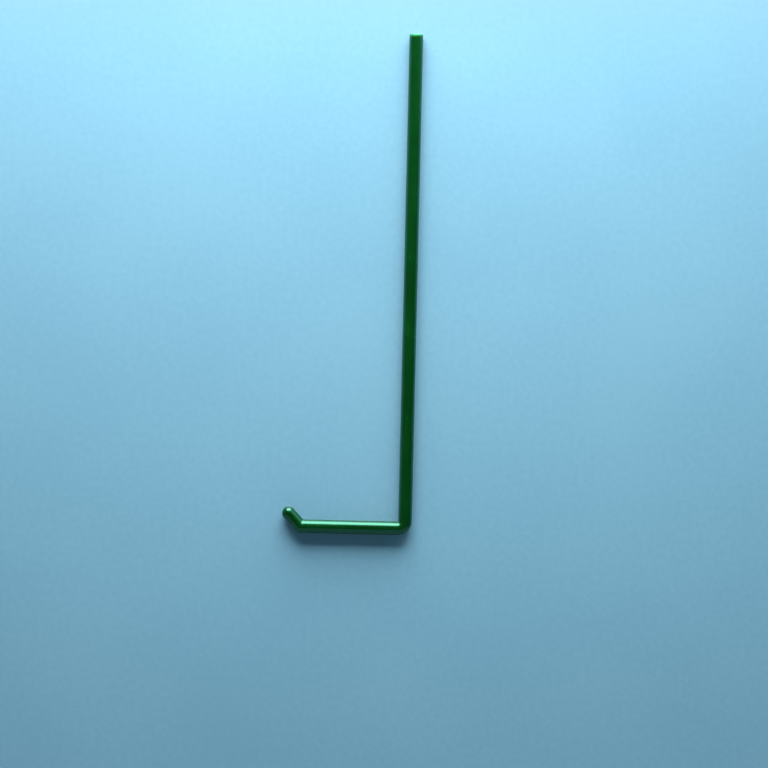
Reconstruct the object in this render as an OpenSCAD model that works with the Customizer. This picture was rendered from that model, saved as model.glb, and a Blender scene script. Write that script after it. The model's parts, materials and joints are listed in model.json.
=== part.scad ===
// Cell spreader: an L-shaped rod moulded in one piece, for spreading
// liquid over agar plates. It lies flat. The handle runs along +Y, the
// spreading arm along -X from the heel, and a short tip turns back
// towards +Y at the arm's end. The origin is under the middle of the
// part, on the table. All lengths are in millimetres.

/* [Rod] */
// Diameter of the round rod that forms the handle, the heel and the arm
rod_diameter = 4; // [3:0.1:6]

/* [Handle] */
// Length of the part, from the outer side of the arm to the free end
overall_length = 146; // [100:1:200]
// Rounding of the edge of the free end
handle_edge_round = 0.4; // [0.1:0.1:1]

/* [Spreading arm] */
// Length of the arm along its centreline, from the heel to the knee
arm_length = 30.5; // [20:0.5:50]
// Radius of the inside corner of the heel
heel_inner_radius = 0.2; // [0.1:0.1:6]

/* [Tip] */
// Length of the tip along its centreline, from the knee to its very end
tip_length = 7; // [5:0.1:12]
// How much slimmer than the rod the tip is, measured across it
tip_slimming = 0.1; // [0.1:0.1:0.8]
// Angle that the tip turns away from the line of the arm
tip_angle = 47; // [15:1:75]
// Rounding of the tip's end, a full dome once it reaches the tip's radius
tip_round = 2; // [0.4:0.1:3]

/* [Hidden] */
$fn = 64;

rod_r = rod_diameter / 2;
tip_r = rod_r - tip_slimming / 2;

// Neither rounding can be larger than the radius of the end it is on
handle_round_r = min(handle_edge_round, rod_r);
tip_round_r = min(tip_round, tip_r);

// Centreline radius of the heel, a quarter turn from the arm to the handle
heel_radius = heel_inner_radius + rod_r;

// How far the tip's end stands out past the knee, along the arm's line
tip_span = (tip_length - tip_round_r) * cos(tip_angle)
    + (tip_r - tip_round_r) * sin(tip_angle)
    + tip_round_r;
overall_width = rod_r + arm_length + tip_span;

// Centreline corners, with the part centred over the origin
heel_x = overall_width / 2 - rod_r;
knee_x = heel_x - arm_length;
arm_y = rod_r - overall_length / 2;

// Half-section of a straight rod, with its far end rounded
module rod_profile(radius, length, end_round) {
    difference() {
        square([radius, length]);
        translate([radius - end_round, length - end_round])
            difference() {
                square(radius);
                circle(r = end_round);
            }
    }
}

// Straight rod along +Y, square at its start and rounded at its far end
module straight_rod(radius, length, end_round) {
    rotate([-90, 0, 0])
        rotate_extrude()
            rod_profile(radius, length, end_round);
}

// Long straight handle, from the heel to the free end
module handle() {
    start_y = arm_y + heel_radius;
    handle_length = overall_length / 2 - start_y;
    translate([heel_x, start_y, 0])
        straight_rod(rod_r, handle_length, handle_round_r);
}

// Quarter bend that joins the arm to the handle
module heel() {
    translate([heel_x - heel_radius, arm_y + heel_radius, 0])
        rotate(-90)
            rotate_extrude(angle = 90)
                translate([heel_radius, 0])
                    circle(r = rod_r);
}

// Spreading arm, whose domed end is the outer corner of the knee
module arm() {
    domed_length = arm_length - heel_radius + rod_r;
    translate([heel_x - heel_radius, arm_y, 0])
        rotate(90)
            straight_rod(rod_r, domed_length, rod_r);
}

// Short tip, turned back from the knee
module tip() {
    translate([knee_x, arm_y, 0])
        rotate(90 - tip_angle)
            straight_rod(tip_r, tip_length, tip_round_r);
}

// The whole spreader, one moulded piece resting on the table
module spreader() {
    color("darkgreen")
        translate([0, 0, rod_r])
            union() {
                handle();
                heel();
                arm();
                tip();
            }
}

spreader();
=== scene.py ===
"""Looks of a cell spreader: one moulded green rod, bent to an L, lying on a pale table.

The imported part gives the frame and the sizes. A Geometry Nodes tree sweeps the rod
along its centreline and adds what the mould leaves on it: a fine parting line, shallow
ejector-pin marks underneath, slight sink waves and a gate scar on the free end.
"""

import json
import logging
import math
from dataclasses import dataclass, fields
from enum import Enum
from typing import Any

import bpy
from mathutils import Matrix, Vector


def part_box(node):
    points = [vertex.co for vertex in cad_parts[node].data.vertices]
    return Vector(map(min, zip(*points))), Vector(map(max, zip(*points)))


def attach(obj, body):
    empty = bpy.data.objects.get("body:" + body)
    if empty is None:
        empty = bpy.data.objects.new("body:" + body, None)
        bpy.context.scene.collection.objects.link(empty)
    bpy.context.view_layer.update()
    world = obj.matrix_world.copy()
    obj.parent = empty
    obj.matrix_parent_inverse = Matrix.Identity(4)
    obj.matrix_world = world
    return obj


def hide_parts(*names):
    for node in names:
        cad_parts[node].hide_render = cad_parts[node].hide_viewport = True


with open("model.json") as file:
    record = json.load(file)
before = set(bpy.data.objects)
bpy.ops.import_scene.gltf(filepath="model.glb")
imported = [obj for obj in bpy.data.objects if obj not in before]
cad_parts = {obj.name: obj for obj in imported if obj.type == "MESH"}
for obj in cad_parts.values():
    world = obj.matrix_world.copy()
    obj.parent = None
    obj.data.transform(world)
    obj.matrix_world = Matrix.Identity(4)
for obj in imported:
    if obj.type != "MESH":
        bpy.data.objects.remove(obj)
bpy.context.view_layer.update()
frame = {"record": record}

MM = 0.001
CAD_NODE = "spreader"
BODY = "root"
SLOT = "green_plastic"
MOUNT = "handle_end"

BEND_RADIUS = "bend_radius"
ROD_COORDS = "rod_coords"
RIM_HIGHLIGHT = "rim_wear"
ORIGIN = Vector((0.0, 0.0, 0.0))
NORTH = Vector((0.0, 1.0, 0.0))
UP = Vector((0.0, 0.0, 1.0))

Colour = tuple[float, float, float]
Span = tuple[float, float]

log = logging.getLogger("cell_spreader")


# --------------------------------------------------------------------------- node maths


class Field:
    """A node socket that takes part in Python expressions, as a number or a vector."""

    def __init__(self, graph: "Graph", socket: bpy.types.NodeSocket) -> None:
        """Wraps one output socket.

        Args:
            graph: the tree that the socket belongs to.
            socket: the output that the expression reads.
        """
        self.graph = graph
        self.socket = socket

    def __add__(self, other: "Operand") -> "Field":
        """Sum."""
        return self.graph.combine("ADD", self, other)

    def __radd__(self, other: "Operand") -> "Field":
        """Sum, with the plain value first."""
        return self.graph.combine("ADD", other, self)

    def __sub__(self, other: "Operand") -> "Field":
        """Difference."""
        return self.graph.combine("SUBTRACT", self, other)

    def __rsub__(self, other: "Operand") -> "Field":
        """Difference, with the plain value first."""
        return self.graph.combine("SUBTRACT", other, self)

    def __mul__(self, other: "Operand") -> "Field":
        """Product; a vector times a number is scaled."""
        return self.graph.combine("MULTIPLY", self, other)

    def __rmul__(self, other: "Operand") -> "Field":
        """Product, with the plain value first."""
        return self.graph.combine("MULTIPLY", self, other)

    def __truediv__(self, other: "Operand") -> "Field":
        """Quotient."""
        return self.graph.combine("DIVIDE", self, other)

    def __rtruediv__(self, other: "Operand") -> "Field":
        """Quotient, with the plain value first."""
        return self.graph.combine("DIVIDE", other, self)

    def __neg__(self) -> "Field":
        """The value with its sign turned."""
        return self * -1.0


Operand = Field | Vector | float


def is_vector(operand: Operand) -> bool:
    """Tells whether an operand is a vector.

    Args:
        operand: a field, a plain vector or a plain number.

    Returns:
        True for vectors and for fields of vectors.
    """
    if isinstance(operand, Field):
        return operand.socket.type == "VECTOR"
    return isinstance(operand, Vector)


class Graph:
    """A node tree under construction, of shader or of geometry nodes."""

    def __init__(self, tree: bpy.types.NodeTree) -> None:
        """Keeps the tree.

        Args:
            tree: the node tree to add to.
        """
        self.tree = tree

    def node(
        self,
        kind: str,
        settings: dict[str, Any] | None = None,
        inputs: dict[str | int, Any] | None = None,
    ) -> bpy.types.Node:
        """Adds one node.

        Args:
            kind: the node's type.
            settings: its properties, which are set first.
            inputs: plain values or links, by socket identifier or by index.

        Returns:
            The new node.
        """
        made = self.tree.nodes.new(kind)
        for name, value in (settings or {}).items():
            setattr(made, name, value)
        for key, value in (inputs or {}).items():
            self._feed(self._socket(made.inputs, key), value)
        return made

    def field(
        self,
        kind: str,
        settings: dict[str, Any] | None = None,
        inputs: dict[str | int, Any] | None = None,
        output: str | int = 0,
    ) -> Field:
        """Adds one node and reads one of its outputs.

        Args:
            kind: the node's type.
            settings: its properties, which are set first.
            inputs: plain values or links, by socket identifier or by index.
            output: the identifier or the index of the output.

        Returns:
            The output as a field.
        """
        made = self.node(kind, settings, inputs)
        return Field(self, self._socket(made.outputs, output))

    def maths(self, operation: str, *operands: Operand) -> Field:
        """Adds a Math node on up to three numbers.

        Args:
            operation: the node's operation.
            *operands: its inputs, in order.

        Returns:
            The result.
        """
        return self.field("ShaderNodeMath", {"operation": operation}, dict(enumerate(operands)))

    def vector(self, operation: str, *operands: Operand) -> Field:
        """Adds a Vector Math node.

        Args:
            operation: the node's operation.
            *operands: its vector inputs, in order.

        Returns:
            The result, a number for a dot product or a length.
        """
        output = "Value" if operation in ("DOT_PRODUCT", "LENGTH", "DISTANCE") else "Vector"
        inputs = dict(enumerate(operands))
        return self.field("ShaderNodeVectorMath", {"operation": operation}, inputs, output)

    def combine(self, operation: str, first: Operand, second: Operand) -> Field:
        """Adds the node that an operator stands for.

        Args:
            operation: ADD, SUBTRACT, MULTIPLY or DIVIDE.
            first: the left operand.
            second: the right operand.

        Returns:
            The result, a vector if either operand is one.
        """
        if not (is_vector(first) or is_vector(second)):
            return self.maths(operation, first, second)
        if operation == "MULTIPLY" and not (is_vector(first) and is_vector(second)):
            vector, factor = (first, second) if is_vector(first) else (second, first)
            inputs = {0: vector, "Scale": factor}
            return self.field("ShaderNodeVectorMath", {"operation": "SCALE"}, inputs, "Vector")
        return self.vector(operation, first, second)

    def ease(self, value: Operand, start: Operand, end: Operand) -> Field:
        """Rises smoothly from 0 at start to 1 at end.

        Args:
            value: the number that is read.
            start: where the rise begins.
            end: where the rise is complete.

        Returns:
            A number from 0 to 1.
        """
        settings = {"interpolation_type": "SMOOTHSTEP"}
        inputs = {"Value": value, "From Min": start, "From Max": end}
        return self.field("ShaderNodeMapRange", settings, inputs)

    def noise(self, place: Operand, scale: float, detail: float = 2.0) -> Field:
        """Adds soft noise.

        Args:
            place: the coordinates that it is read at.
            scale: how many waves fit in a metre of those coordinates.
            detail: how many finer octaves it carries.

        Returns:
            A number about 0.5.
        """
        return self.field("ShaderNodeTexNoise", None, {"Vector": place, "Scale": scale, "Detail": detail})

    def mix(self, factor: Operand, first: "Field | Colour", second: "Field | Colour") -> Field:
        """Blends two colours.

        Args:
            factor: 0 for the first colour, 1 for the second.
            first: a linear colour or a field of colours.
            second: a linear colour or a field of colours.

        Returns:
            The blended colour.
        """
        ends = [end if isinstance(end, Field) else (*end, 1.0) for end in (first, second)]
        inputs = {"Factor_Float": factor, "A_Color": ends[0], "B_Color": ends[1]}
        return self.field("ShaderNodeMix", {"data_type": "RGBA"}, inputs, "Result_Color")

    def xyz(self, x: Operand, y: Operand, z: Operand) -> Field:
        """Joins three numbers to a vector."""
        return self.field("ShaderNodeCombineXYZ", None, {"X": x, "Y": y, "Z": z})

    def parts(self, vector: Field) -> tuple[Field, Field, Field]:
        """Splits a vector.

        Args:
            vector: the vector to split.

        Returns:
            Its three numbers.
        """
        split = self.node("ShaderNodeSeparateXYZ", None, {0: vector})
        return tuple(Field(self, output) for output in split.outputs)

    def _feed(self, socket: bpy.types.NodeSocket, value: Any) -> None:
        """Links a socket or sets its plain value.

        Args:
            socket: the input to feed.
            value: a field, a socket or a plain value.
        """
        source = value.socket if isinstance(value, Field) else value
        if isinstance(source, bpy.types.NodeSocket):
            self.tree.links.new(source, socket)
        else:
            socket.default_value = source

    @staticmethod
    def _socket(sockets: Any, key: str | int) -> bpy.types.NodeSocket:
        """Finds a socket.

        Args:
            sockets: a node's inputs or outputs.
            key: the socket's identifier or its index.

        Returns:
            The socket.
        """
        if isinstance(key, int):
            return sockets[key]
        return next(socket for socket in sockets if socket.identifier == key)


# --------------------------------------------------------------------------- finishes


def start_material(name: str) -> tuple[bpy.types.Material, Graph]:
    """Starts a node material.

    Args:
        name: the material's name.

    Returns:
        The material and its empty graph.
    """
    material = bpy.data.materials.new(name)
    material.use_nodes = True
    material.node_tree.nodes.clear()
    return material, Graph(material.node_tree)


@dataclass(frozen=True)
class MouldedPlastic:
    """Dyed plastic with the gloss of a polished mould, and a highlight painted paler, with more roughness,
    on the free end's rim.
    """

    deep: Colour = (0.0004, 0.032, 0.0015)
    light: Colour = (0.0008, 0.050, 0.0035)
    # Painted highlight: the paler green that the free end's rim is given.
    scuffed: Colour = (0.015, 0.22, 0.055)
    roughness: float = 0.25
    roughness_spread: float = 0.08
    highlight_roughness: float = 0.25
    ior: float = 1.80
    gloss_tint: Colour = (0.27, 1.0, 0.80)
    streak_length: float = 14 * MM
    streak_width: float = 0.7 * MM
    streak_share: float = 0.6
    cloud_size: float = 5 * MM
    cloud_detail: float = 3.0
    shade_span: Span = (0.3, 0.7)
    peel_size: float = 0.9 * MM
    peel_height: float = 0.0006 * MM
    highlight_span: Span = (0.30, 0.55)

    def material(self, name: str) -> bpy.types.Material:
        """Makes the plastic's material.

        Args:
            name: the material's name.

        Returns:
            The material, which reads the rod's own coordinates.
        """
        material, graph = start_material(name)
        rod = graph.field("ShaderNodeAttribute", {"attribute_name": ROD_COORDS}, output="Vector")
        on_rim = graph.field("ShaderNodeAttribute", {"attribute_name": RIM_HIGHLIGHT}, output="Fac")
        stretch = Vector((1 / self.streak_length, 1 / self.streak_width, 1 / self.streak_width))
        streaks = graph.noise(rod * stretch, 1.0, self.cloud_detail)
        clouds = graph.noise(rod, 1 / self.cloud_size, self.cloud_detail)
        peel = graph.noise(rod, 1 / self.peel_size)
        tone = self.streak_share * streaks + (1 - self.streak_share) * clouds
        shade = graph.ease(tone, *self.shade_span)
        gloss = self.roughness + self.roughness_spread * (clouds + streaks - 1.0)
        # The paler colour on the free end's rim is a painted highlight; the rim is also made rougher.
        highlight_mask = on_rim * graph.ease(peel, *self.highlight_span)
        normal = graph.field("ShaderNodeBump", None, {"Distance": self.peel_height, "Height": peel})
        plastic = graph.node("ShaderNodeBsdfPrincipled", None, {
            "Base Color": graph.mix(highlight_mask, graph.mix(shade, self.deep, self.light), self.scuffed),
            "Roughness": gloss + self.highlight_roughness * highlight_mask,
            "IOR": self.ior,
            "Specular Tint": (*self.gloss_tint, 1.0),
            "Normal": normal,
        })
        graph.node("ShaderNodeOutputMaterial", None, {"Surface": plastic.outputs[0]})
        return material


@dataclass(frozen=True)
class Backdrop:
    """The pale surround, lighter on the window's side, to the north."""

    bright: Colour = (0.42, 0.70, 0.86)
    dim: Colour = (0.20, 0.35, 0.45)
    north_span: Span = (-0.8, 0.8)

    def colour(self, graph: Graph, way: Field) -> Field:
        """Picks the surround's colour.

        Args:
            graph: the material's or the world's graph.
            way: the direction it is seen in, one unit long.

        Returns:
            The colour.
        """
        north = graph.vector("DOT_PRODUCT", way, NORTH)
        return graph.mix(graph.ease(north, *self.north_span), self.dim, self.bright)


@dataclass(frozen=True)
class TableTop:
    """Pale blue laminate with a faint speckle, which fades to the backdrop away from the part.

    The camera sees it matt. The rod's gloss sees it polished, with the window in it.
    """

    pale: Colour = (0.215, 0.46, 0.66)
    deep: Colour = (0.195, 0.43, 0.63)
    backdrop: Backdrop = Backdrop()
    roughness: float = 0.85
    sheen_level: float = 0.15
    polished_roughness: float = 0.25
    speckle_size: float = 1.6 * MM
    speckle_share: float = 0.5
    cloud_size: float = 60 * MM
    shade_span: Span = (0.35, 0.65)
    fade_middle: Vector = Vector((0.0, -0.05, 0.0))
    fade_span: Span = (0.14, 0.26)
    window_fade_span: Span = (0.062, 0.12)

    def material(self, name: str) -> bpy.types.Material:
        """Makes the table's material.

        Args:
            name: the material's name.

        Returns:
            The material, which reads the table's own coordinates.
        """
        material, graph = start_material(name)
        place = graph.field("ShaderNodeTexCoord", output="Object")
        laminate = self._laminate(graph, place)
        surround = self.backdrop.colour(graph, graph.vector("NORMALIZE", place))
        backdrop = graph.node("ShaderNodeEmission", None, {"Color": surround})
        seen = graph.field("ShaderNodeLightPath", output="Is Camera Ray")
        surface = graph.node("ShaderNodeMixShader", None, {
            0: seen * self._fade(graph, place), 1: laminate.outputs[0], 2: backdrop.outputs[0],
        })
        graph.node("ShaderNodeOutputMaterial", None, {"Surface": surface.outputs[0]})
        return material

    def _laminate(self, graph: Graph, place: Field) -> bpy.types.Node:
        """Makes the laminate, matt to the camera and polished to the rod's gloss.

        Args:
            graph: the material's graph.
            place: the table's own coordinates.

        Returns:
            The shader.
        """
        speckle = graph.noise(place, 1 / self.speckle_size)
        clouds = graph.noise(place, 1 / self.cloud_size)
        tone = self.speckle_share * speckle + (1 - self.speckle_share) * clouds
        colour = graph.mix(graph.ease(tone, *self.shade_span), self.deep, self.pale)
        matt = graph.node("ShaderNodeBsdfPrincipled", None, {
            "Base Color": colour, "Roughness": self.roughness, "Specular IOR Level": self.sheen_level,
        })
        polished = graph.node("ShaderNodeBsdfPrincipled", None, {
            "Base Color": colour, "Roughness": self.polished_roughness,
        })
        in_gloss = graph.field("ShaderNodeLightPath", output="Is Glossy Ray")
        return graph.node("ShaderNodeMixShader", None, {
            0: in_gloss, 1: matt.outputs[0], 2: polished.outputs[0],
        })

    def _fade(self, graph: Graph, place: Field) -> Field:
        """Works out how far the table has faded to the backdrop.

        Args:
            graph: the material's graph.
            place: the table's own coordinates.

        Returns:
            0 round the part, rising to 1 far from it, and sooner on the window's side.
        """
        away = graph.vector("DISTANCE", place, self.fade_middle)
        _, north, _ = graph.parts(place)
        window_side = graph.ease(north, *self.window_fade_span)
        return graph.maths("MAXIMUM", graph.ease(away, *self.fade_span), window_side)


# --------------------------------------------------------------------------- the spreader


class Face(Enum):
    """Which flat side of the L carries the ejector-pin marks."""

    TOP = 1.0
    UNDERSIDE = -1.0


@dataclass(frozen=True)
class RodSizes:
    """Sizes of the bent rod, in metres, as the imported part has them."""

    rod_radius: float
    tip_radius: float
    edge_round: float
    knee: Vector
    arm_way: Vector
    tip_way: Vector
    knee_reach: float
    knee_fillet: float = 0.3 * MM


@dataclass(frozen=True)
class MouldMarks:
    """What the mould leaves on the rod, in metres."""

    parting_height: float = 0.02 * MM
    parting_width: float = 0.05 * MM
    sink_depth: float = 0.01 * MM
    sink_size: float = 9.0 * MM
    pin_radius: float = 0.8 * MM
    pin_depth: float = 0.045 * MM
    pin_wall: float = 0.06 * MM
    pin_pitches: int = 5
    pin_face: Face = Face.UNDERSIDE
    dish_depth: float = 0.10 * MM
    dish_flat_share: float = 0.6
    gate_radius: float = 0.5 * MM
    gate_height: float = 0.08 * MM
    gate_flat_share: float = 0.7
    # A highlight is painted paler on the free end's rim: the band's width, its fully painted share, and
    # where it sets in and peaks across the end.
    highlight_band_width: float = 0.95 * MM
    highlight_core_share: float = 0.4
    highlight_onset: float = 0.6
    wear_full: float = 0.8


@dataclass(frozen=True)
class SweepMesh:
    """How finely the rod is meshed."""

    rings: int = 520
    section_points: int = 96
    cap_rings: int = 20
    bend_points: int = 64
    ring_crowding: float = 0.75
    seam_crowding: float = 0.8


class RodSweep:
    """Geometry Nodes tree that wraps a closed tube round a route of corners.

    A unit cylinder is the template: its angle goes round the rod, its height along
    the route, and its two caps become the tip's dome and the free end's flat face.
    """

    KINDS = {
        float: "NodeSocketFloat",
        int: "NodeSocketInt",
        Vector: "NodeSocketVector",
        bpy.types.Material: "NodeSocketMaterial",
    }

    def __init__(self, name: str) -> None:
        """Starts an empty tree with a geometry input and output.

        Args:
            name: the tree's name.
        """
        self.tree = bpy.data.node_groups.new(name, "GeometryNodeTree")
        self.graph = Graph(self.tree)
        self.values: dict[str, Any] = {}
        for way in ("INPUT", "OUTPUT"):
            self.tree.interface.new_socket("Geometry", in_out=way, socket_type="NodeSocketGeometry")

    def add_inputs(self, *groups: Any) -> None:
        """Gives the tree one named input for each size of the groups.

        Args:
            *groups: dataclasses of sizes.
        """
        for group in groups:
            for item in fields(group):
                value = getattr(group, item.name)
                self.add_input(item.name, value.value if isinstance(value, Enum) else value)

    def add_input(self, name: str, value: Any) -> None:
        """Gives the tree one named input.

        Args:
            name: the input's name, in lower case with underscores.
            value: the value that the modifier sets it to.
        """
        kind = next(socket_type for type_, socket_type in self.KINDS.items() if isinstance(value, type_))
        socket = self.tree.interface.new_socket(self._title(name), in_out="INPUT", socket_type=kind)
        self.values[socket.identifier] = value

    def build(self) -> None:
        """Adds the nodes, once all the inputs are there."""
        graph = self.graph
        self.group = graph.node("NodeGroupInput")
        template = graph.node("GeometryNodeMeshCylinder", {"fill_type": "TRIANGLE_FAN"}, {
            "Vertices": self._input("section_points"),
            "Side Segments": self._input("rings"),
            "Fill Segments": self._input("cap_rings"),
            "Radius": 1.0,
            "Depth": 1.0,
        })
        self._read_template()
        self._follow_route()
        wall = self._wall_radius() - self._mould_inset()
        reach, stand = self._end_profiles()
        place = self.centre + self.spoke * (wall * reach) + self.along * stand
        run = self.length + stand
        coords = graph.xyz(run, wall * reach * self.cosine, wall * reach * self.sine)
        # Both attributes are read off the template, so they are stored before its points move
        kept = self._keep(template.outputs["Mesh"], ROD_COORDS, "FLOAT_VECTOR", coords)
        # The rim mask says where a highlight is painted on the free end.
        kept = self._keep(kept, RIM_HIGHLIGHT, "FLOAT", self._painted_rim_share(run, reach))
        shaped = graph.node("GeometryNodeSetPosition", None, {"Geometry": kept, "Position": place})
        smooth = graph.node("GeometryNodeSetShadeSmooth", None, {"Geometry": shaped.outputs[0]})
        real = graph.node("GeometryNodeRealizeInstances", None, {"Geometry": smooth.outputs[0]})
        dressed = graph.node("GeometryNodeSetMaterial", None, {
            "Geometry": real.outputs[0], "Material": self._input("material"),
        })
        graph.node("NodeGroupOutput", None, {0: dressed.outputs[0]})

    def apply(self, carrier: bpy.types.Object) -> None:
        """Runs the tree on an object and keeps the result as its plain mesh.

        Args:
            carrier: an object whose mesh is the route.
        """
        modifier = carrier.modifiers.new(self.tree.name, "NODES")
        modifier.node_group = self.tree
        for identifier, value in self.values.items():
            modifier[identifier] = value
        depsgraph = bpy.context.evaluated_depsgraph_get()
        mesh = bpy.data.meshes.new_from_object(carrier.evaluated_get(depsgraph), depsgraph=depsgraph)
        carrier.modifiers.remove(modifier)
        mesh.name = carrier.name
        carrier.data = mesh

    def _read_template(self) -> None:
        """Reads the template cylinder: angle round it, share of a cap, share of its height."""
        graph = self.graph
        position = graph.field("GeometryNodeInputPosition")
        x, y, height = graph.parts(position)
        turn = graph.maths("ARCTAN2", y, x)
        crowding = 0.5 * self._input("seam_crowding")
        angle = turn - crowding * graph.maths("SINE", 2.0 * turn)
        self.cosine = graph.maths("COSINE", angle)
        self.sine = graph.maths("SINE", angle)
        self.cap_share = graph.maths("SQRT", x * x + y * y)
        self.height_share = height + 0.5

    def _follow_route(self) -> None:
        """Rounds the route's corners and reads the centreline at each ring."""
        graph = self.graph
        bend = graph.field("GeometryNodeInputNamedAttribute", {"data_type": "FLOAT"}, {"Name": BEND_RADIUS})
        corners = graph.node("GeometryNodeMeshToCurve", None, {"Mesh": self._input("geometry")})
        route = graph.node("GeometryNodeFilletCurve", {"mode": "POLY"}, {
            "Curve": corners.outputs[0], "Count": self._input("bend_points"), "Radius": bend,
        })
        self.route_length = graph.field("GeometryNodeCurveLength", None, {"Curve": route.outputs[0]})
        self.pitch = self.route_length / self._input("pin_pitches")
        # Rings crowd together once in each pitch, where the bends and the marks are
        even = self.height_share * self.route_length
        wave = graph.maths("SINE", even * math.tau / self.pitch)
        self.length = even - self._input("ring_crowding") * self.pitch / math.tau * wave
        sample = graph.node("GeometryNodeSampleCurve", {"mode": "LENGTH"}, {
            "Curves": route.outputs[0], "Length": self.length,
        })
        self.centre = Field(graph, sample.outputs["Position"])
        self.along = Field(graph, sample.outputs["Tangent"])
        across = graph.vector("CROSS_PRODUCT", UP, self.along)
        self.spoke = across * self.cosine + self.sine * UP

    def _wall_radius(self) -> Field:
        """Works out how far the wall is from the centreline.

        Returns:
            The rod's radius, and near the knee the distance to the wall that the
            domed arm and the slimmer tip make together.
        """
        graph = self.graph
        radius = self._input("rod_radius")
        offset = self.centre - self._input("knee")
        arm = self._way_out(offset, self._input("arm_way"), radius)
        tip = self._way_out(offset, self._input("tip_way"), self._input("tip_radius"))
        inner = graph.vector("NORMALIZE", self._input("arm_way") + self._input("tip_way"))
        facing = graph.maths("MAXIMUM", graph.vector("DOT_PRODUCT", self.spoke, inner), 0.0)
        fillet = self._input("knee_fillet") * facing * facing
        joined = graph.maths("SMOOTH_MAX", arm, tip, fillet)
        near = graph.maths("LESS_THAN", self.length, self._input("knee_reach"))
        return radius + near * (joined - radius)

    def _way_out(self, offset: Field, way: Field, radius: Field) -> Field:
        """Measures along a spoke to the wall of a round rod that is domed at the knee.

        Args:
            offset: where the spoke starts, from the knee.
            way: the rod's direction from the knee.
            radius: the rod's radius.

        Returns:
            The distance to the rod's side, or to its dome on the knee's other side.
        """
        graph = self.graph
        spoke_run = graph.vector("DOT_PRODUCT", self.spoke, way)
        start_run = graph.vector("DOT_PRODUCT", offset, way)
        slope = graph.vector("DOT_PRODUCT", offset, self.spoke)
        gap = graph.vector("DOT_PRODUCT", offset, offset) - radius * radius
        dome = graph.maths("SQRT", slope * slope - gap) - slope
        square = 1.0 - spoke_run * spoke_run
        half = slope - start_run * spoke_run
        root = graph.maths("SQRT", half * half - square * (gap - start_run * start_run))
        side = (root - half) / square
        beyond = graph.maths("LESS_THAN", start_run + side * spoke_run, 0.0)
        return side + beyond * (dome - side)

    def _mould_inset(self) -> Field:
        """Works out how far the moulded wall lies inside the true round rod.

        Returns:
            The depth of the parting line's flanks, the sink waves and the pin marks.
        """
        graph = self.graph
        height = self._input("rod_radius") * self.sine / self._input("parting_width")
        ridge = graph.maths("EXPONENT", -(height * height))
        flanks = self._input("parting_height") * self.cosine * self.cosine * (1.0 - ridge)
        radius = self._input("rod_radius")
        place = graph.xyz(self.length, self.cosine * radius, self.sine * radius)
        waves = self._input("sink_depth") * graph.noise(place / self._input("sink_size"), 1.0)
        return flanks + waves + self._input("pin_depth") * self._pin_marks()

    def _pin_marks(self) -> Field:
        """Finds the round ejector-pin marks, one for each inner division of the rod.

        Returns:
            1 inside a mark, 0 outside.
        """
        graph = self.graph
        run = graph.maths("PINGPONG", self.length, self.pitch / 2.0)
        side = self._input("rod_radius") * self.cosine
        distance = graph.maths("SQRT", run * run + side * side)
        edge = self._input("pin_radius")
        disc = 1.0 - graph.ease(distance, edge - self._input("pin_wall"), edge)
        faced = graph.maths("GREATER_THAN", self.sine * self._input("pin_face"), 0.0)
        after = graph.maths("GREATER_THAN", self.length, self.pitch / 2.0)
        before = graph.maths("LESS_THAN", self.length, self.route_length - self.pitch / 2.0)
        return disc * faced * after * before

    def _end_profiles(self) -> tuple[Field, Field]:
        """Shapes the caps: a dome at the tip, and a flat, round-edged face at the free end.

        Returns:
            The share of the wall's radius, and the way past the route's end.
        """
        graph = self.graph
        at_free_end = graph.maths("GREATER_THAN", self.height_share, 0.5)
        quarter = math.pi / 2
        dome_turn = self.cap_share * quarter
        dome_reach = graph.maths("SINE", dome_turn)
        dome_stand = -self._input("tip_radius") * graph.maths("COSINE", dome_turn)
        radius, rounding = self._input("rod_radius"), self._input("edge_round")
        flat = graph.maths("MINIMUM", self.cap_share * 2.0, 1.0)
        edge_turn = graph.maths("MAXIMUM", self.cap_share * 2.0 - 1.0, 0.0) * quarter
        face_radius = (radius - rounding) * flat
        face_reach = (face_radius + rounding * graph.maths("SINE", edge_turn)) / radius
        face_stand = rounding * graph.maths("COSINE", edge_turn) - self._gate_scar(face_radius)
        reach = dome_reach + at_free_end * (face_reach - dome_reach)
        return reach, dome_stand + at_free_end * (face_stand - dome_stand)

    def _gate_scar(self, distance: Field) -> Field:
        """Sinks the free end's face to a shallow dish, with the gate's nub in it.

        Args:
            distance: how far a point is from the face's middle.

        Returns:
            The depth under the flat face.
        """
        graph = self.graph
        rim = self._input("rod_radius") - self._input("edge_round")
        dish_flat = self._input("dish_flat_share") * rim
        dish = self._input("dish_depth") * (1.0 - graph.ease(distance, dish_flat, rim))
        gate = self._input("gate_radius")
        gate_flat = self._input("gate_flat_share") * gate
        nub = self._input("gate_height") * (1.0 - graph.ease(distance, gate_flat, gate))
        return dish - nub

    def _painted_rim_share(self, run: Field, reach: Field) -> Field:
        """Marks the rim of the free end, where a highlight is painted paler.

        Args:
            run: the way along the rod, ends included.
            reach: a point's share of the wall's radius.

        Returns:
            1 on the rim, 0 away from it.
        """
        graph = self.graph
        end = self.route_length + self._input("edge_round")
        width = self._input("highlight_band_width")
        along = graph.ease(run, end - width, end - self._input("highlight_core_share") * width)
        return along * graph.ease(reach, self._input("highlight_onset"), self._input("wear_full"))

    def _keep(self, mesh: Any, name: str, data_type: str, value: Field) -> Field:
        """Stores a value on the rod's points, for its finish to read.

        Args:
            mesh: the geometry that carries it.
            name: the attribute's name.
            data_type: FLOAT or FLOAT_VECTOR.
            value: the value at each point.

        Returns:
            The geometry with the attribute on it.
        """
        settings = {"data_type": data_type, "domain": "POINT"}
        inputs = {"Geometry": mesh, "Name": name, "Value": value}
        return self.graph.field("GeometryNodeStoreNamedAttribute", settings, inputs)

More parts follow.
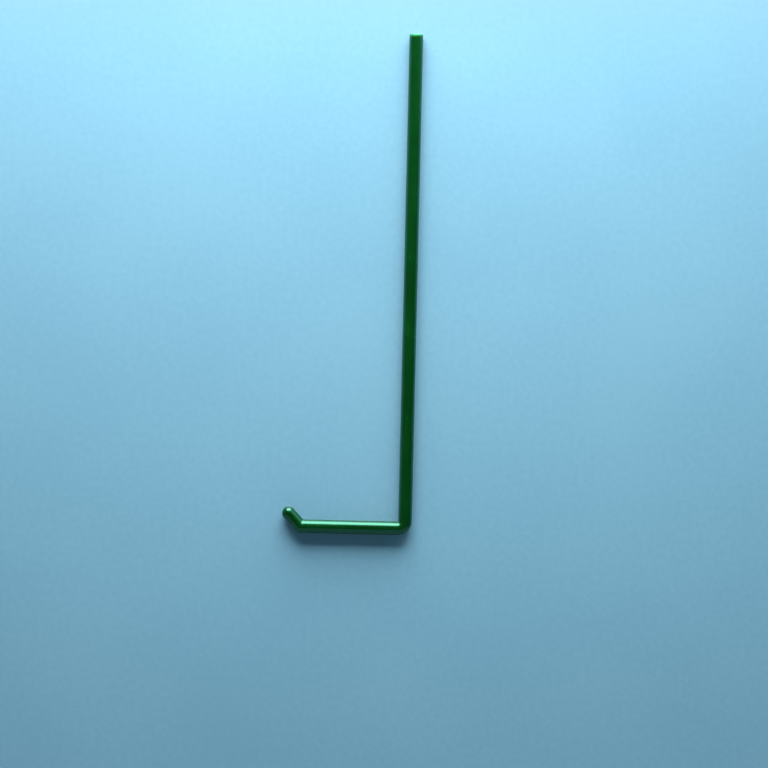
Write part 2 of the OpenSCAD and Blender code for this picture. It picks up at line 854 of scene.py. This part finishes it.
    def _input(self, name: str) -> Field:
        """Reads one of the tree's inputs by its name."""
        return Field(self.graph, self.group.outputs[self._title(name)])

    @staticmethod
    def _title(name: str) -> str:
        """Turns a size's name into the words of an input."""
        return name.replace("_", " ").title()


@dataclass
class Spreader:
    """The one moulded piece: handle, heel, spreading arm and tip."""

    low: Vector
    high: Vector
    mount: dict[str, Any]
    tip_length: float = 7.0 * MM
    tip_angle: float = math.radians(47)
    tip_slimming: float = 0.05 * MM
    edge_round: float = 0.4 * MM
    knee_bend: float = 2.15 * MM
    knee_radii: int = 3

    @property
    def rod_radius(self) -> float:
        """Radius of the rod, which the mount at the handle states."""
        return self.mount["dims"]["r_mm"] * MM

    @property
    def tip_radius(self) -> float:
        """Radius of the slimmer tip and of its dome."""
        return self.rod_radius - self.tip_slimming

    @property
    def tip_way(self) -> Vector:
        """Direction of the tip, from the knee."""
        return Vector((-math.cos(self.tip_angle), math.sin(self.tip_angle), 0.0))

    @property
    def knee(self) -> Vector:
        """Corner of the centreline at the knee."""
        reach = (self.tip_length - self.tip_radius) * math.cos(self.tip_angle) + self.tip_radius
        return Vector((self.low.x + reach, self.low.y + self.rod_radius, self.rod_radius))

    @property
    def heel(self) -> Vector:
        """Corner of the centreline at the heel, in line with the mount."""
        return Vector((self.mount["pos_m"][0], self.low.y + self.rod_radius, self.rod_radius))

    @property
    def heel_bend(self) -> float:
        """Radius of the centreline at the heel, where the handle's straight wall starts."""
        straight_start = self.high.y - self.edge_round - self.mount["dims"]["length_mm"] * MM
        return straight_start - self.heel.y

    def route(self) -> list[tuple[Vector, float]]:
        """Lists the centreline's corners.

        Returns:
            Each corner's place and bend radius, from the tip's dome to the free end.
        """
        dome = self.knee + self.tip_way * (self.tip_length - self.tip_radius)
        free_end = Vector((self.heel.x, self.high.y - self.edge_round, self.rod_radius))
        return [(dome, 0.0), (self.knee, self.knee_bend), (self.heel, self.heel_bend), (free_end, 0.0)]

    def build(self, finish: MouldedPlastic) -> bpy.types.Object:
        """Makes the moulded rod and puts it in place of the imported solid.

        Args:
            finish: the plastic it is dressed in.

        Returns:
            The finished piece.
        """
        piece = self._route_object("moulded_spreader")
        sizes = RodSizes(
            rod_radius=self.rod_radius,
            tip_radius=self.tip_radius,
            edge_round=self.edge_round,
            knee=self.knee,
            arm_way=(self.heel - self.knee).normalized(),
            tip_way=self.tip_way,
            knee_reach=self.tip_length + self.knee_radii * self.rod_radius,
        )
        sweep = RodSweep("rod_sweep")
        sweep.add_inputs(sizes, MouldMarks(), SweepMesh())
        sweep.add_input("material", finish.material(SLOT))
        sweep.build()
        sweep.apply(piece)
        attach(piece, BODY)
        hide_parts(CAD_NODE)
        return piece

    def _route_object(self, name: str) -> bpy.types.Object:
        """Makes an object whose mesh is the centreline's corners.

        Args:
            name: the object's name.

        Returns:
            The object, with each corner's bend radius as an attribute.
        """
        corners = self.route()
        mesh = bpy.data.meshes.new(name)
        edges = [(i, i + 1) for i in range(len(corners) - 1)]
        mesh.from_pydata([place for place, _ in corners], edges, [])
        bends = mesh.attributes.new(BEND_RADIUS, "FLOAT", "POINT")
        bends.data.foreach_set("value", [bend for _, bend in corners])
        route = bpy.data.objects.new(name, mesh)
        bpy.context.scene.collection.objects.link(route)
        return route


# --------------------------------------------------------------------------- the studio


@dataclass(frozen=True)
class Softbox:
    """A rectangular soft light."""

    name: str
    centre: Vector
    aim: Vector
    width: float
    height: float
    radiance: float
    colour: Colour

    def build(self) -> bpy.types.Object:
        """Makes the light.

        Returns:
            The light's object, turned to face its aim.
        """
        lamp = bpy.data.lights.new(self.name, "AREA")
        lamp.shape = "RECTANGLE"
        lamp.size = self.width
        lamp.size_y = self.height
        lamp.color = self.colour
        lamp.energy = math.pi * self.width * self.height * self.radiance
        light = bpy.data.objects.new(self.name, lamp)
        facing = (self.aim - self.centre).to_track_quat("-Z", "Y")
        light.matrix_world = Matrix.Translation(self.centre) @ facing.to_matrix().to_4x4()
        light.visible_camera = False
        bpy.context.scene.collection.objects.link(light)
        return light


@dataclass(frozen=True)
class Studio:
    """The pale table, the soft light over its far edge, a dim room and the camera."""

    table: TableTop = TableTop()
    table_size: float = 12.0
    room_glow: Colour = (0.02, 0.032, 0.04)
    window: Softbox = Softbox(
        name="window_softbox",
        centre=Vector((-0.015, 0.28, 0.16)),
        aim=Vector((-0.015, 0.0, 0.16)),
        width=0.36,
        height=0.32,
        radiance=11.8,
        colour=(1.0, 0.98, 0.90),
    )
    window_side: Softbox = Softbox(
        name="window_side_glow",
        centre=Vector((0.31, 0.24, 0.16)),
        aim=Vector((-0.017, -0.065, 0.16)),
        width=0.30,
        height=0.32,
        radiance=1.6,
        colour=(0.80, 1.0, 0.95),
    )
    left_wall: Softbox = Softbox(
        name="left_wall_glow",
        centre=Vector((-0.60, 0.02, 0.28)),
        aim=ORIGIN,
        width=0.60,
        height=0.45,
        radiance=0.10,
        colour=(0.80, 0.95, 1.0),
    )
    near_wall: Softbox = Softbox(
        name="near_wall_glow",
        centre=Vector((0.0, -0.60, 0.35)),
        aim=ORIGIN,
        width=2.00,
        height=0.70,
        radiance=0.4,
        colour=(0.80, 1.0, 1.0),
    )
    lens_mm: float = 168.75
    sensor_mm: float = 36.0
    nearest_sight: float = 0.01
    camera_place: Vector = Vector((9.88, -31.56, 1050.7)) * MM
    camera_tilt: float = math.radians(0.137)
    camera_roll: float = math.radians(1.344)

    def lay_table(self, level: float) -> bpy.types.Object:
        """Lays the table top.

        Args:
            level: the height of its surface.

        Returns:
            The table, marked as stage.
        """
        half = self.table_size / 2
        corners = [(-half, -half, level), (half, -half, level), (half, half, level), (-half, half, level)]
        mesh = bpy.data.meshes.new("table_top")
        mesh.from_pydata(corners, [], [(0, 1, 2, 3)])
        mesh.materials.append(self.table.material("pale_laminate"))
        table = bpy.data.objects.new("table_top", mesh)
        bpy.context.scene.collection.objects.link(table)
        return table

    def light_room(self) -> None:
        """Gives the room a dim glow, behind which the camera sees the pale backdrop."""
        world = bpy.data.worlds.new("dim_room")
        bpy.context.scene.world = world
        world.use_nodes = True
        world.node_tree.nodes.clear()
        graph = Graph(world.node_tree)
        seen = graph.field("ShaderNodeLightPath", output="Is Camera Ray")
        way = graph.field("ShaderNodeTexCoord", output="Generated")
        colour = graph.mix(seen, self.room_glow, self.table.backdrop.colour(graph, way))
        glow = graph.node("ShaderNodeBackground", None, {"Color": colour})
        graph.node("ShaderNodeOutputWorld", None, {"Surface": glow.outputs[0]})

    def light_part(self) -> list[bpy.types.Object]:
        """Puts up the soft light over the far edge, and three dim ones that stand for walls.

        Returns:
            The lights.
        """
        boxes = (self.window, self.window_side, self.left_wall, self.near_wall)
        return [box.build() for box in boxes]

    def set_camera(self) -> bpy.types.Object:
        """Puts the camera over the part, looking down.

        Returns:
            The camera, which the scene renders through.
        """
        lens = bpy.data.cameras.new("overhead_camera")
        lens.lens = self.lens_mm
        lens.sensor_width = self.sensor_mm
        lens.clip_start = self.nearest_sight
        camera = bpy.data.objects.new("overhead_camera", lens)
        turn = Matrix.Rotation(self.camera_tilt, 4, "X") @ Matrix.Rotation(self.camera_roll, 4, "Z")
        camera.matrix_world = Matrix.Translation(self.camera_place) @ turn
        bpy.context.scene.collection.objects.link(camera)
        bpy.context.scene.camera = camera
        return camera


def main() -> None:
    """Builds the spreader, the table, the light and the camera."""
    logging.basicConfig(level=logging.INFO, format="%(name)s: %(message)s")
    low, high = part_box(CAD_NODE)
    mount = next(m for m in frame["record"]["mounts"] if m["name"] == MOUNT)
    piece = Spreader(low, high, mount).build(MouldedPlastic())
    log.info("%s: %d faces", piece.name, len(piece.data.polygons))
    studio = Studio()
    table = studio.lay_table(low.z)
    studio.light_room()
    lights = studio.light_part()
    camera = studio.set_camera()
    log.info("stage: %s, %s, %s", table.name, [light.name for light in lights], camera.name)
    bpy.context.scene.view_settings.view_transform = "Standard"


if __name__ == "__main__":
    main()
